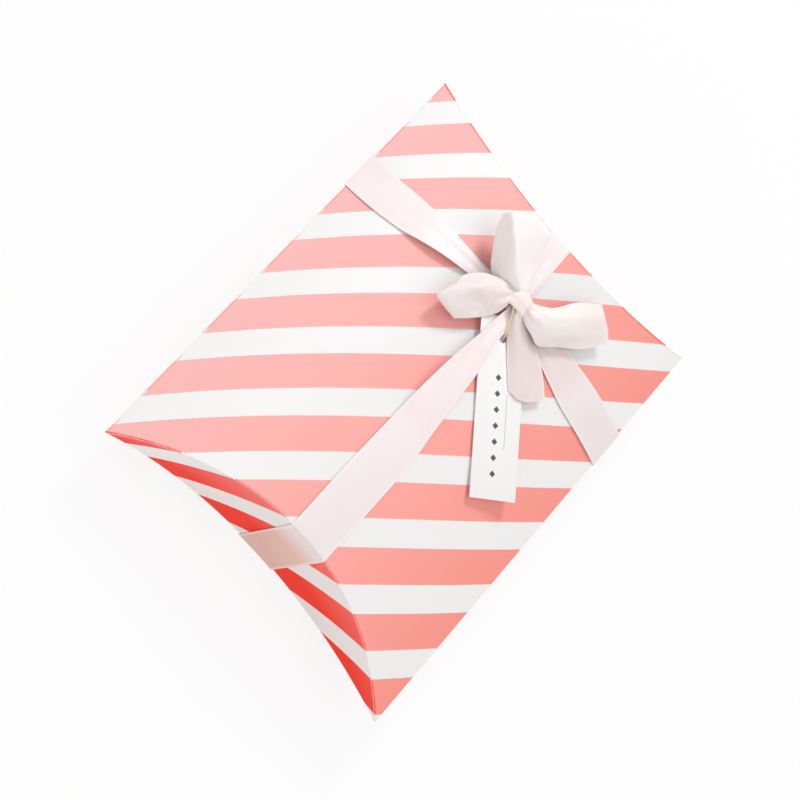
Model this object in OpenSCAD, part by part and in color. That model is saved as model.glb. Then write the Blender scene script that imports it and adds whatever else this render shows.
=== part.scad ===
/* [Box] */
// Length of the box over the corners
box_length = 175; // [140:1:220]
// Width of the box over the long folds
box_width = 125; // [100:1:150]
// Rise of each panel from the plane of the long folds
panel_rise = 17.5; // [12:0.5:22]
// Thickness of the card
card_thickness = 0.45; // [0.3:0.05:0.8]
// Clearance at the creases, between card layers that move
crease_gap = 0.25; // [0.15:0.05:0.4]
// Width of the glued seam flap
seam_width = 13; // [8:1:20]
// Distance of the seam flap's ends from the end walls
seam_set_back = 4; // [3:0.5:10]

/* [Ribbon] */
// Width of the ribbon
ribbon_width = 15.5; // [12:0.5:18]
// Thickness of the ribbon
ribbon_thickness = 0.3; // [0.2:0.05:0.5]
// Clearance between the ribbon and what it lies on
ribbon_gap = 0.2; // [0.15:0.05:0.4]
// Offset of the lengthwise band from the box's centre line
band_offset = -3.7; // [-6:0.1:6]
// Place of the crosswise band along the box at the long folds, from its middle
cross_x = 40.5; // [30:0.5:46]
// Depth to which the ribbon under the box is pressed flat
pressed_depth = 0.12; // [0.05:0.01:0.2]

/* [Bow] */
// Place of the knot along the box, from its middle
knot_x = 41; // [30:0.5:46]
// Place of the knot across the box, from its middle
knot_y = -1; // [-4:0.5:4]
// Length of the knot
knot_length = 7; // [6.5:0.5:8]
// Width of the knot
knot_width = 9.5; // [7:0.5:10]
// Height of the knot
knot_height = 6.5; // [5:0.5:7]
// Width of the ribbon where the knot gathers it
gathered_width = 6; // [4:0.5:8]
// Depth of the pleats that the knot gathers
pleat_depth = 0.8; // [0.4:0.1:1.2]
// Length of the upper loop from the knot
upper_loop_length = 24; // [18:1:28]
// Length of the left loop from the knot
left_loop_length = 28; // [18:1:32]
// Length of the right loop from the knot
right_loop_length = 31; // [22:1:32]
// Width of the loops at their round ends
loop_width = 14.5; // [10:0.5:16]
// Half the opening of the upper loop
upper_opening = 5; // [3:0.5:7]
// Half the opening of the two side loops
side_opening = 4; // [3:0.5:5]
// Length of the hanging tail from the knot
tail_length = 26; // [18:1:30]
// Width of the hanging tail
tail_width = 12; // [8:0.5:14]

/* [Tag] */
// Length of the tag
tag_length = 59.5; // [45:0.5:66]
// Width of the tag
tag_width = 18; // [15:0.5:20]
// Thickness of the tag
tag_thickness = 0.4; // [0.3:0.05:0.6]
// Distance of the eyelet hole from the tag's top edge
hole_inset = 7; // [5:0.5:8]
// Radius of the eyelet hole
hole_radius = 1.6; // [1.4:0.1:2]
// Angle of the tag to the length of the box, in degrees
tag_angle = 41.2; // [36:0.2:48]
// Diameter of the thread
thread_diameter = 0.6; // [0.4:0.1:0.7]

/* [Hidden] */

salmon = [0.96, 0.62, 0.60];
card_white = [0.95, 0.94, 0.93];
ribbon_cream = [0.95, 0.89, 0.87];
thread_gold = [0.80, 0.67, 0.40];

// Each panel is part of a cylinder of this radius, whose centre lies this far past the fold plane
arc_r = (pow(box_width / 2, 2) + pow(panel_rise, 2)) / (2 * panel_rise);
arc_drop = arc_r - panel_rise;
// Distance from the middle of the box to the centre of an end wall's arc
end_centre = box_length / 2 + arc_drop;
// One layer of ribbon with its clearance
ribbon_layer = ribbon_gap + ribbon_thickness;
// Height of the fold plane over the ground, with two layers of ribbon under the box
fold_z = panel_rise + 2 * ribbon_layer - pressed_depth;
glue_film = 0.05;
// Where the near and the far band meet the knot and the far end, across the box
near_meet_offset = -0.4;
far_meet_offset = 1;
far_width_share = 0.62;
near_gathered_share = 0.6;
// Height of the bands and the loops over the panel where they leave the knot
band_root_lift = 1.6;
loop_root_rise = 0.8;
// How fast the crosswise band widens from the knot, above it and below it, and how far it bows
upper_widening = 1.1;
lower_widening = 1.6;
cross_bow = 1.6;
// Heading of the tail, how far its slanted cut runs, and its start beside the knot
tail_azimuth = 238.5;
tail_slant = 8;
tail_gather_share = 0.65;
tail_start_offset = [-4, -4.6];
// How far the ribbon slants across the near end wall
end_slant = 2.5;
overrun = 1;
arc_steps = 720;

// The inner flap turns about its own foot; its ends stop short of the corners to swing clear
inner_span_share = 0.88;
inner_edge_steps = 40;
inner_flap_depth = card_thickness + crease_gap;
inner_axis_x = end_centre - arc_r - inner_flap_depth - card_thickness;
inner_axis_z = inner_flap_depth - panel_rise;

function mix(a, b, t) = a + (b - a) * t;
function ease(t) = let(c = max(0, min(1, t))) c * c * (3 - 2 * c);
function arc_z(y, grow = 0) = sqrt(pow(arc_r + grow, 2) - y * y) - arc_drop;
function end_x(y, grow = 0) = end_centre - sqrt(pow(arc_r + grow, 2) - y * y);

// A place over the front panel, raised square to it
function on_panel(x, y, lift) =
    let(a = asin(y / arc_r))
    [x, (arc_r + lift) * sin(a), fold_z - arc_drop + (arc_r + lift) * cos(a)];

// Box space
module prism(grow) {
    translate([0, 0, fold_z])
        rotate([90, 0, 90])
            linear_extrude(box_length + 2 * overrun, center = true)
                intersection() {
                    translate([0, -arc_drop]) circle(r = arc_r + grow, $fn = arc_steps);
                    translate([0, arc_drop]) circle(r = arc_r + grow, $fn = arc_steps);
                }
}

module shell(low, high) {
    difference() {
        prism(high);
        prism(low);
    }
}

module half_space(side) {
    reach = box_length;
    translate([-reach, -reach, side > 0 ? fold_z : fold_z - reach])
        cube([2 * reach, 2 * reach, reach]);
}

module column() {
    linear_extrude(2 * (fold_z + overrun)) children();
}

module end_disc(side, grow) {
    translate([side * end_centre, 0]) circle(r = arc_r + grow, $fn = arc_steps);
}

module plan(end_gap) {
    difference() {
        square([box_length, box_width + 4 * overrun], center = true);
        for (side = [-1, 1]) end_disc(side, end_gap);
    }
}

module end_wall(side, low, high) {
    column() difference() {
        end_disc(side, high);
        end_disc(side, low);
    }
}

// Card
module front_panel() {
    color(salmon) intersection() {
        shell(-card_thickness, 0);
        half_space(1);
        column() plan(card_thickness + crease_gap);
    }
}

module back_panel() {
    color(salmon) intersection() {
        shell(-card_thickness, 0);
        half_space(-1);
        column() plan(card_thickness + crease_gap);
    }
}

module seam_flap() {
    outer = -card_thickness - glue_film;
    color(card_white) intersection() {
        shell(outer - card_thickness, outer);
        half_space(-1);
        column() intersection() {
            plan(seam_set_back);
            translate([-box_length / 2, box_width / 2 - seam_width]) square([box_length, seam_width]);
        }
    }
}

module outer_flap(side) {
    color(salmon) intersection() {
        prism(0);
        end_wall(side, 0, card_thickness);
    }
}

// Height of the inner flap's free edge, which just passes under the front panel as it swings in
function inner_edge_z(y) =
    let(
        reach = arc_z(y, -card_thickness) - crease_gap - inner_axis_z,
        out = end_x(y, inner_flap_depth) - inner_axis_x
    )
    inner_axis_z + sqrt(reach * reach - out * out);

module inner_flap(side) {
    half_span = inner_span_share * box_width / 2;
    edge = [
        for (i = [0 : inner_edge_steps])
            let(y = mix(-half_span, half_span, i / inner_edge_steps))
            [y, inner_edge_z(y)]
    ];
    color(card_white) intersection() {
        prism(-inner_flap_depth);
        end_wall(side, inner_flap_depth, inner_flap_depth + card_thickness);
        translate([0, 0, fold_z])
            rotate([90, 0, 90])
                linear_extrude(box_length, center = true)
                    polygon(concat(edge, [[half_span, -panel_rise], [-half_span, -panel_rise]]));
    }
}

// Ribbon held flat against the card
module band_strip(low, high) {
    low_y = band_offset - ribbon_width / 2;
    high_y = low_y + ribbon_width;
    reach = box_length / 2;
    intersection() {
        shell(low, high);
        half_space(-1);
        column() intersection() {
            plan(0);
            polygon([[-reach, low_y + end_slant], [reach, low_y], [reach, high_y], [-reach, high_y + end_slant]]);
        }
    }
}

module back_band() {
    color(ribbon_cream) band_strip(ribbon_layer + ribbon_gap, 2 * ribbon_layer);
}

module back_cross_band() {
    color(ribbon_cream) intersection() {
        shell(ribbon_gap, ribbon_layer);
        half_space(-1);
        column() translate([cross_x, 0]) square([ribbon_width, box_width + 4 * overrun], center = true);
    }
}

module end_band(side, slant) {
    low_y = band_offset - ribbon_width / 2;
    high_y = low_y + ribbon_width;
    color(ribbon_cream) intersection() {
        prism(0);
        end_wall(side, -ribbon_layer, -ribbon_gap);
        translate([0, 0, fold_z])
            rotate([90, 0, 90])
                linear_extrude(box_length, center = true)
                    polygon([
                        [low_y + slant, -panel_rise], [high_y + slant, -panel_rise],
                        [high_y, panel_rise], [low_y, panel_rise]
                    ]);
    }
}

// A soft ribbon from two equal nets of points, its under side and its upper side
function joined(rows) = [for (row = rows) for (point = row) point];

function quad(a, b, c, d) = [[a, c, b], [a, d, c]];

module ribbon_solid(under, upper) {
    n = len(under);
    m = len(under[0]);
    total = n * m;
    skin = [
        for (i = [0 : n - 2]) for (j = [0 : m - 2])
            let(a = i * m + j, b = a + 1, c = a + m + 1, d = a + m)
            for (face = concat(quad(a, b, c, d), quad(total + d, total + c, total + b, total + a))) face
    ];
    sides = [
        for (i = [0 : n - 2])
            let(a = i * m, d = a + m, b = a + m - 1, c = d + m - 1)
            for (face = concat(quad(a, d, total + d, total + a), quad(c, b, total + b, total + c))) face
    ];
    last = (n - 1) * m;
    ends = [
        for (j = [0 : m - 2])
            for (face = concat(
                quad(j + 1, j, total + j, total + j + 1),
                quad(last + j, last + j + 1, total + last + j + 1, total + last + j)
            )) face
    ];
    polyhedron(points = concat(joined(under), joined(upper)), faces = concat(skin, sides, ends));
}

// Two pleats across the ribbon, as deep as the knot pulls them
function pleat(across, pull) = pleat_depth * pull * (1 - cos(720 * across)) / 2;

band_steps = 14;
across_steps = 8;

// A ribbon laid along a path: place(t, across, extra) gives its points, with t from start to finish
module laid_ribbon(place) {
    function net(extra) = [
        for (i = [0 : band_steps])
            [for (j = [0 : across_steps]) place(i / band_steps, j / across_steps, extra)]
    ];
    color(ribbon_cream) ribbon_solid(net(0), net(ribbon_thickness));
}

// The near band narrows towards the knot and rises over the tag
near_gather_start = 0.42;
near_gather_end = 0.95;
near_rise_end = 0.75;

module near_band() {
    finish = knot_x - knot_length / 2 - ribbon_gap;
    laid_ribbon(function(t, across, extra)
        let(
            gather = ease((t - near_gather_start) / (near_gather_end - near_gather_start)),
            climb = ease((t - near_gather_start) / (near_rise_end - near_gather_start)),
            half = mix(ribbon_width, near_gathered_share * gathered_width, gather) / 2,
            y = mix(band_offset, knot_y + near_meet_offset, gather) + (2 * across - 1) * half,
            x = mix(crease_gap - end_x(y), finish, t),
            lift = mix(ribbon_gap, tag_top_lift(y) + ribbon_gap, climb) + pleat(across, gather / 2)
        )
        on_panel(x, y, lift + extra));
}

module far_band() {
    start = knot_x + knot_length / 2;
    laid_ribbon(function(t, across, extra)
        let(
            half = mix(gathered_width, far_width_share * ribbon_width, ease(t)) / 2,
            y = mix(knot_y, far_meet_offset, ease(t)) + (2 * across - 1) * half,
            x = mix(start, end_x(y) - crease_gap, t),
            lift = mix(band_root_lift, ribbon_gap, ease(t)) + pleat(across, 1 - ease(t))
        )
        on_panel(x, y, lift + extra));
}

module cross_band(side, widening) {
    start = knot_y + side * knot_width / 2;
    finish = side * box_width / 2;
    laid_ribbon(function(t, across, extra)
        let(
            spread = min(1, widening * t),
            half = mix(gathered_width, ribbon_width, spread) / 2,
            x = mix(knot_x, cross_x, t) - cross_bow * sin(180 * t) - side * (2 * across - 1) * half,
            lift = mix(band_root_lift, ribbon_gap, ease(spread)) + pleat(across, 1 - spread)
        )
        on_panel(x, mix(start, finish, t), lift + extra));
}

// Bow
knot_z = arc_z(knot_y) + fold_z + ribbon_gap + knot_height / 2;

module knot() {
    ball = knot_height / 2;
    color(ribbon_cream) hull() {
        for (end = [-1, 1]) {
            translate([knot_x + end * (knot_length / 2 - ball), knot_y, knot_z]) sphere(r = ball, $fn = 24);
            translate([knot_x, knot_y + end * (knot_width / 2 - ball), knot_z]) sphere(r = ball, $fn = 24);
        }
    }
}

loop_steps = 20;
// How near to the knot a loop's two ends start, as a share of the way round it
loop_start_share = 0.06;

// Where a loop's axis starts, so that its ends come out just off the knot's side
function loop_foot(azimuth, length) =
    let(ball = knot_height / 2, spread = knot_width / 2 - ball)
    sqrt(ball * ball - pow(spread * cos(azimuth), 2)) + spread * abs(sin(azimuth))
        - length * (1 - cos(360 * loop_start_share)) / 2 + 3 * glue_film;

// A bow loop: azimuth and tilt of its axis, roll about that axis, length and half opening
module bow_loop(azimuth, tilt, roll, length, opening) {
    out = [cos(azimuth) * cos(tilt), sin(azimuth) * cos(tilt), sin(tilt)];
    flat_side = [-sin(azimuth), cos(azimuth), 0];
    flat_up = cross(out, flat_side);
    side = flat_side * cos(roll) + flat_up * sin(roll);
    up = flat_up * cos(roll) - flat_side * sin(roll);
    foot = [knot_x, knot_y, knot_z + loop_root_rise] + out * loop_foot(azimuth, length);
    function place(q) = [length * (1 - cos(360 * q)) / 2, -opening * sin(360 * q) * sin(180 * q)];
    function normal(q) =
        let(
            step = 0.001,
            d = place(q + step) - place(q - step)
        )
        [-d[1], d[0]] / norm(d);
    function net(offset) = [
        for (i = [0 : loop_steps])
            let(
                q = mix(loop_start_share, 1 - loop_start_share, i / loop_steps),
                p = place(q),
                n = normal(q),
                spread = pow(sin(180 * q), 0.7),
                half = mix(gathered_width, loop_width, spread) / 2
            )
            [
                for (j = [0 : across_steps])
                    let(
                        across = j / across_steps,
                        raise = offset + pleat(across, 1 - spread) - pleat(0.25, 1 - spread) / 2
                    )
                    foot + out * (p[0] + n[0] * raise) + up * (p[1] + n[1] * raise) + side * (2 * across - 1) * half
            ]
    ];
    color(ribbon_cream) ribbon_solid(net(-ribbon_thickness / 2), net(ribbon_thickness / 2));
}

module upper_loop() {
    bow_loop(azimuth = 45, tilt = 15, roll = -12, length = upper_loop_length, opening = upper_opening);
}

module left_loop() {
    bow_loop(azimuth = 139, tilt = 8, roll = 0, length = left_loop_length, opening = side_opening);
}

module right_loop() {
    bow_loop(azimuth = -57, tilt = -1, roll = 0, length = right_loop_length, opening = side_opening);
}

// Tag: it lies in the plane that touches the panel beside the knot
tag_lift = 0.5;
hole_offset = [-12.7, -5];
tag_touch_offset = -17;
hole_x = knot_x + hole_offset[0];
hole_y = knot_y + hole_offset[1];
tag_touch_y = knot_y + tag_touch_offset;
tag_slope = -asin(tag_touch_y / arc_r);

function arc_sag(run) = arc_r - sqrt(arc_r * arc_r - run * run);
function tag_top_lift(y) = tag_lift + tag_thickness + arc_sag(y - tag_touch_y);

// A place at a height over the middle of the tag's thickness
function on_tag(x, y, height) =
    let(
        touch = on_panel(x, tag_touch_y, tag_lift + tag_thickness / 2 + height),
        run = (y - tag_touch_y) / cos(tag_slope)
    )
    touch + [0, run * cos(tag_slope), run * sin(tag_slope)];

tag_hole = on_tag(hole_x, hole_y, 0);

module tag() {
    color(card_white)
        translate(tag_hole)
            rotate([tag_slope, 0, 0])
                rotate([0, 0, 180 + tag_angle])
                    difference() {
                        translate([-hole_inset, -tag_width / 2, -tag_thickness / 2])
                            cube([tag_length, tag_width, tag_thickness]);
                        cylinder(r = hole_radius, h = 2 * overrun, center = true, $fn = 48);
                    }
}

module tail() {
    heading = [cos(tail_azimuth), sin(tail_azimuth)];
    aside = [-heading[1], heading[0]];
    start = [knot_x, knot_y] + tail_start_offset;
    over_tag = tag_thickness / 2 + 2 * ribbon_gap;
    laid_ribbon(function(t, across, extra)
        let(
            spread = ease(1.8 * t),
            half = mix(tail_gather_share * gathered_width, tail_width, spread) / 2,
            run = t * (tail_length + tail_slant * (across - 0.5)),
            place = start + heading * run + aside * (2 * across - 1) * half,
            lift = mix(knot_height / 3, over_tag, ease(t)) + pleat(across, 1 - spread)
        )
        on_tag(place[0], place[1], lift + extra));
}

// Thread: out of the knot, down through the eyelet and back under the tag's top edge
thread_sides = 8;
thread_azimuth = 13.3;
thread_route = [
    [9.2, 1.5], [7.6, 1.6], [5, 1.5], [2.4, 1.2], [1, 0.8], [0.3, 0.4], [0, 0],
    [0.3, -0.5], [1.2, -0.7], [4, -0.75], [7.2, -0.75], [8.4, -0.6], [9.2, -0.4]
];

module tag_thread() {
    heading = [cos(thread_azimuth), sin(thread_azimuth), 0];
    aside = [-heading[1], heading[0], 0];
    path = [for (p = thread_route) on_tag(hole_x + heading[0] * p[0], hole_y + heading[1] * p[0], p[1])];
    n = len(path);
    function ring(i) =
        let(
            ahead = path[min(i + 1, n - 1)] - path[max(i - 1, 0)],
            along = ahead / norm(ahead),
            up = cross(along, aside)
        )
        [
            for (k = [0 : thread_sides - 1])
                let(a = 360 * k / thread_sides)
                path[i] + (aside * cos(a) + up / norm(up) * sin(a)) * thread_diameter / 2
        ];
    rings = [for (i = [0 : n - 1]) ring(i)];
    walls = [
        for (i = [0 : n - 2]) for (k = [0 : thread_sides - 1])
            let(a = i * thread_sides + k, b = i * thread_sides + (k + 1) % thread_sides)
            for (face = quad(a, b, b + thread_sides, a + thread_sides)) face
    ];
    caps = [
        [for (k = [0 : thread_sides - 1]) k],
        [for (k = [thread_sides - 1 : -1 : 0]) (n - 1) * thread_sides + k]
    ];
    color(thread_gold) polyhedron(points = joined(rings), faces = concat(walls, caps));
}

front_panel();
back_panel();
seam_flap();
outer_flap(-1);  // near_outer_flap
inner_flap(-1);  // near_inner_flap
outer_flap(1);  // far_outer_flap
inner_flap(1);  // far_inner_flap
near_band();
end_band(-1, end_slant);  // near_end_band
back_band();
end_band(1, 0);  // far_end_band
far_band();
cross_band(1, upper_widening);  // upper_cross_band
cross_band(-1, lower_widening);  // lower_cross_band
back_cross_band();
knot();
upper_loop();
left_loop();
right_loop();
tail();
tag();
tag_thread();
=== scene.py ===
import math

import bpy
from mathutils import Matrix, Vector, noise


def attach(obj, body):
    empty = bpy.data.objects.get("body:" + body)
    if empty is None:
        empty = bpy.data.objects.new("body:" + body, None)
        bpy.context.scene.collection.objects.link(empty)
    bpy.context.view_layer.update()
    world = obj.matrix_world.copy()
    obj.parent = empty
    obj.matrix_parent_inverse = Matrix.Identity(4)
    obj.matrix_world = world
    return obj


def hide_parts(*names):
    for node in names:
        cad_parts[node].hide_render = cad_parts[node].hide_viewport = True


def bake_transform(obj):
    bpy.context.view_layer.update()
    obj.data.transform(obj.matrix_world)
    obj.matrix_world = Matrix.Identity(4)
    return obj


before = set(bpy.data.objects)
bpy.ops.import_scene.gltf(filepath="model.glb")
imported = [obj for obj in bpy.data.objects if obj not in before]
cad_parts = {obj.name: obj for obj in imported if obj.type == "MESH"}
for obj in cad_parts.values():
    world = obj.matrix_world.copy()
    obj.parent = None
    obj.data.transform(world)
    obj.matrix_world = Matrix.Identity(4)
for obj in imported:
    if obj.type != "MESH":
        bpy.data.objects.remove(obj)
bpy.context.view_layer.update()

print("frame loaded")

mm = 0.001

# the card blank; lengths in millimetres
box = {
    "length": 175,
    "width": 125,
    "rise": 17.5,
    "card": 0.45,
    "foldHeight": 18.38,    # the two long folds over the table
    "softness": 0.1,        # slow unevenness of the board
}

arcRadius = (box["width"] ** 2 / 4 + box["rise"] ** 2) / (2 * box["rise"])
arcDrop = arcRadius - box["rise"]
halfSpan = arcRadius * math.asin(box["width"] / 2 / arcRadius)    # flat half width of a panel


def mix(a, b, t):
    return a + (b - a) * t


def clamp(t):
    return max(0.0, min(1.0, t))


def ease(t):
    t = clamp(t)
    return t * t * (3 - 2 * t)


def spread(count):
    return [i / count for i in range(count + 1)]


def arcHeight(y, grow=0.0):
    return math.sqrt((arcRadius + grow) ** 2 - y * y) - arcDrop


def endReach(y, grow=0.0):
    return box["length"] / 2 + arcDrop - math.sqrt((arcRadius + grow) ** 2 - y * y)


def overPanel(x, y, lift):
    a = math.asin(y / arcRadius)
    high = box["foldHeight"] - arcDrop + (arcRadius + lift) * math.cos(a)
    return Vector((x, (arcRadius + lift) * math.sin(a), high))


def underPanel(x, y, lift):
    p = overPanel(x, y, lift)
    return Vector((p.x, p.y, 2 * box["foldHeight"] - p.z))


def wavesAt(a, b, scale, seed):
    return noise.noise(Vector((a * scale[0], b * scale[1], seed)))


# modelling helpers

def clearSelection():
    if bpy.context.object and bpy.context.object.mode != "OBJECT":
        bpy.ops.object.mode_set(mode="OBJECT")
    bpy.ops.object.select_all(action="DESELECT")


def pick(piece):
    clearSelection()
    piece.select_set(True)
    bpy.context.view_layer.objects.active = piece


def applyModifier(piece, kind, **settings):
    pick(piece)
    modifier = piece.modifiers.new(kind.title(), kind)
    for key, value in settings.items():
        setattr(modifier, key, value)
    bpy.ops.object.modifier_apply(modifier=modifier.name)


def smoothShade(piece, angle):
    pick(piece)
    bpy.ops.object.shade_smooth_by_angle(angle=math.radians(angle))


def editWhole(piece, operation, **settings):
    pick(piece)
    bpy.ops.object.mode_set(mode="EDIT")
    bpy.ops.mesh.select_all(action="SELECT")
    operation(**settings)
    bpy.ops.object.mode_set(mode="OBJECT")


# a grid laid over rows of points in millimetres; flat gives each point's place on the flat blank
def sheetFromRows(name, rows, flat):
    count, across = len(rows), len(rows[0])
    clearSelection()
    bpy.ops.mesh.primitive_grid_add(x_subdivisions=across - 1, y_subdivisions=count - 1, size=1,
                                    calc_uvs=True)
    piece = bpy.context.object
    piece.name = piece.data.name = name
    mesh = piece.data
    spots = [(round((v.co.y + 0.5) * (count - 1)), round((v.co.x + 0.5) * (across - 1)))
             for v in mesh.vertices]
    layer = mesh.uv_layers.active
    layer.name = "flat"
    for loop in mesh.loops:
        i, j = spots[loop.vertex_index]
        layer.data[loop.index].uv = (flat[i][j][0] * mm, flat[i][j][1] * mm)
    for vertex, (i, j) in zip(mesh.vertices, spots):
        vertex.co = rows[i][j] * mm
    mesh.update()
    return piece


# an open sheet's outer side looks one way
def faceTowards(piece, direction):
    total = Vector((0, 0, 0))
    for polygon in piece.data.polygons:
        total += polygon.normal * polygon.area
    if total.dot(Vector(direction)) < 0:
        editWhole(piece, bpy.ops.mesh.flip_normals)


# the outer side of a sheet that closes on itself looks away from its centre
def faceOutwards(piece, centre):
    total = sum((p.center - centre).dot(p.normal) * p.area for p in piece.data.polygons)
    if total < 0:
        editWhole(piece, bpy.ops.mesh.flip_normals)


# shader helpers

def newMaterial(name):
    material = bpy.data.materials.new(name)
    material.use_nodes = True
    tree = material.node_tree
    tree.nodes.clear()
    output = tree.nodes.new("ShaderNodeOutputMaterial")
    shader = tree.nodes.new("ShaderNodeBsdfPrincipled")
    tree.links.new(shader.outputs["BSDF"], output.inputs["Surface"])
    return material, tree, shader


def put(tree, kind, **settings):
    node = tree.nodes.new(kind)
    for key, value in settings.items():
        setattr(node, key, value)
    return node


# a socket or a node knows the tree that it belongs to
def treeOf(*parts):
    return next(part for part in parts if not isinstance(part, (int, float))).id_data


def sums(operation, a, b=None, c=None):
    tree = treeOf(a, b, c)
    node = put(tree, "ShaderNodeMath", operation=operation)
    for slot, value in enumerate((a, b, c)):
        if value is None:
            continue
        if isinstance(value, (int, float)):
            node.inputs[slot].default_value = value
        else:
            tree.links.new(value, node.inputs[slot])
    return node.outputs[0]


def times(a, b):
    return sums("MULTIPLY", a, b)


def gap(a, b):
    return sums("ABSOLUTE", sums("SUBTRACT", a, b))


def rest(a):
    return sums("SUBTRACT", 1.0, a)


def between(value, low, high, soft=True):
    tree = treeOf(value)
    node = put(tree, "ShaderNodeMapRange", interpolation_type="SMOOTHSTEP" if soft else "LINEAR")
    tree.links.new(value, node.inputs["Value"])
    node.inputs["From Min"].default_value = low
    node.inputs["From Max"].default_value = high
    return node.outputs["Result"]


def within(value, low, high, soft):
    # 1 from low to high, with a soft edge that starts at each
    after = between(value, low, low + soft)
    return times(after, rest(between(value, high, high + soft)))


def blendColours(factor, a, b):
    tree = treeOf(factor)
    node = put(tree, "ShaderNodeMix", data_type="RGBA")
    for socket, value in ((node.inputs[0], factor), (node.inputs[6], a), (node.inputs[7], b)):
        if isinstance(value, tuple):
            socket.default_value = value + (1,)
        else:
            tree.links.new(value, socket)
    return node.outputs[2]


def firstTwo(vector):
    tree = treeOf(vector)
    split = put(tree, "ShaderNodeSeparateXYZ")
    tree.links.new(vector, split.inputs[0])
    return split.outputs[0], split.outputs[1]


def flatPlace(tree):
    return put(tree, "ShaderNodeUVMap", uv_map="flat").outputs[0]


def objectPlace(tree):
    return put(tree, "ShaderNodeTexCoord").outputs["Object"]


def grain(vector, scale, detail=3, roughness=0.6):
    tree = treeOf(vector)
    node = put(tree, "ShaderNodeTexNoise")
    node.inputs["Scale"].default_value = scale
    node.inputs["Detail"].default_value = detail
    node.inputs["Roughness"].default_value = roughness
    tree.links.new(vector, node.inputs["Vector"])
    return node.outputs[0]


def bumped(shader, height, strength, distance):
    tree = treeOf(shader)
    node = put(tree, "ShaderNodeBump")
    node.inputs["Strength"].default_value = strength
    node.inputs["Distance"].default_value = distance
    tree.links.new(height, node.inputs["Height"])
    tree.links.new(node.outputs[0], shader.inputs["Normal"])


def surface(shader, colour, roughness, specular):
    tree = treeOf(shader)
    tree.links.new(colour, shader.inputs["Base Color"])
    shader.inputs["Specular IOR Level"].default_value = specular
    if isinstance(roughness, float):
        shader.inputs["Roughness"].default_value = roughness
    else:
        tree.links.new(roughness, shader.inputs["Roughness"])


# the printed card; places in metres on the flat blank, colours linear
cardPrint = {
    "slant": 45.657,          # degrees between the stripes and the box's width
    "repeat": 0.020634,
    "shift": 0.8448,
    "starts": 0.0385,         # a stripe's two edges, as shares of the repeat
    "ends": 0.598,
    "edge": 0.006,
    "wobble": (260, 0.012),   # scale, and how far an edge wanders
    "palePink": (0.97, 0.525, 0.515),
    "deepPink": (0.97, 0.300, 0.245),
    "shadeCurve": 0.75,         # how fast the painted shade turns the pink from pale to deep across the panel
    # painted shade: the deep pink that the end walls are drawn with
    "wallShadePink": (0.96, 0.028, 0.006),
    "wallShadeShare": (0.58, 0.42),  # share of the painted wall shade at the crease, and what the back edge adds
    "wallReach": (0.071, 0.092),
    "white": (0.93, 0.935, 0.935),
    # painted shade: the white is drawn greyer over the middle and lower part of the panel
    "middleWhite": (0.865, 0.862, 0.860),
    "lowerWhite": (0.90, 0.897, 0.895),
    "middleReach": (0.15, 0.5),
    "lowerReach": (0.6, 0.95),
    "mottle": (900, 0.10, 0.03),    # scale, and strength on the panels and on the walls
    "mottlePink": (1.0, 0.62, 0.60),
    "cloud": (35, 0.4),
    "cloudWhite": (0.90, 0.905, 0.91),
    "rubAndHighlight": (420, 0.2),        # ink rubbed thin along the creases, with a painted highlight there too
    "rubReach": (0.0001, 0.0006),
    "rubPatches": (0.35, 0.75),     # from untouched to worn and lit
    "wornAndHighlit": (0.96, 0.86, 0.84),
    "roughness": (0.46, 0.12),
    "specular": 0.35,
    "wallSpecular": 0.15,
    "tooth": (2600, 300, 0.6),      # fine and coarse scale, and the coarse one's share
    "bump": (0.16, 0.00005),
}


def stripes(u, v, where):
    slant = math.radians(cardPrint["slant"])
    repeat, soft = cardPrint["repeat"], cardPrint["edge"]
    wobbleScale, wobble = cardPrint["wobble"]
    q = times(u, math.cos(slant) / repeat)
    q = sums("MULTIPLY_ADD", v, math.sin(slant) / repeat, q)
    q = sums("MULTIPLY_ADD", grain(where, wobbleScale, 2), wobble, q)
    q = sums("FRACT", sums("SUBTRACT", q, cardPrint["shift"]))
    return within(q, cardPrint["starts"] - soft, cardPrint["ends"] - soft, 2 * soft)


# the pink print, with painted shade across the panel and on the walls
def pinkInkAndShade(u, shadeAcross, where, onWall):
    curve = sums("POWER", shadeAcross, cardPrint["shadeCurve"])
    pink = blendColours(curve, cardPrint["palePink"], cardPrint["deepPink"])
    if onWall:
        # painted shade: the ends are drawn in deeper pink, most of all towards the back edge
        start, more = cardPrint["wallShadeShare"]
        depth = between(sums("ABSOLUTE", u), *cardPrint["wallReach"], soft=False)
        depth = sums("MULTIPLY_ADD", depth, more, start)
        pink = blendColours(depth, pink, cardPrint["wallShadePink"])
    scale, onPanels, onWalls = cardPrint["mottle"]
    mottle = times(grain(where, scale, 4), onWalls if onWall else onPanels)
    return blendColours(mottle, pink, cardPrint["mottlePink"])


# the white ground, drawn greyer across the panel as painted shade
def whiteGround(shadeAcross, where):
    middle = between(shadeAcross, *cardPrint["middleReach"])
    lower = between(shadeAcross, *cardPrint["lowerReach"])
    white = blendColours(middle, cardPrint["white"], cardPrint["middleWhite"])
    white = blendColours(lower, white, cardPrint["lowerWhite"])
    scale, strength = cardPrint["cloud"]
    cloud = times(grain(where, scale, 2), strength)
    return blendColours(cloud, white, cardPrint["cloudWhite"])


def creaseWearAndHighlight(u, v, where):
    # how near the point lies to an end's curved crease
    angle = times(v, 1 / (arcRadius * mm))
    crest = sums("MULTIPLY_ADD", sums("COSINE", angle), arcRadius * mm, -arcDrop * mm)
    crease = sums("SUBTRACT", box["length"] / 2 * mm, crest)
    away = gap(sums("ABSOLUTE", u), crease)
    scale, strength = cardPrint["rubAndHighlight"]
    worn = times(rest(between(away, *cardPrint["rubReach"])),
                 between(grain(where, scale, 3), *cardPrint["rubPatches"]))
    return times(worn, strength)


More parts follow.
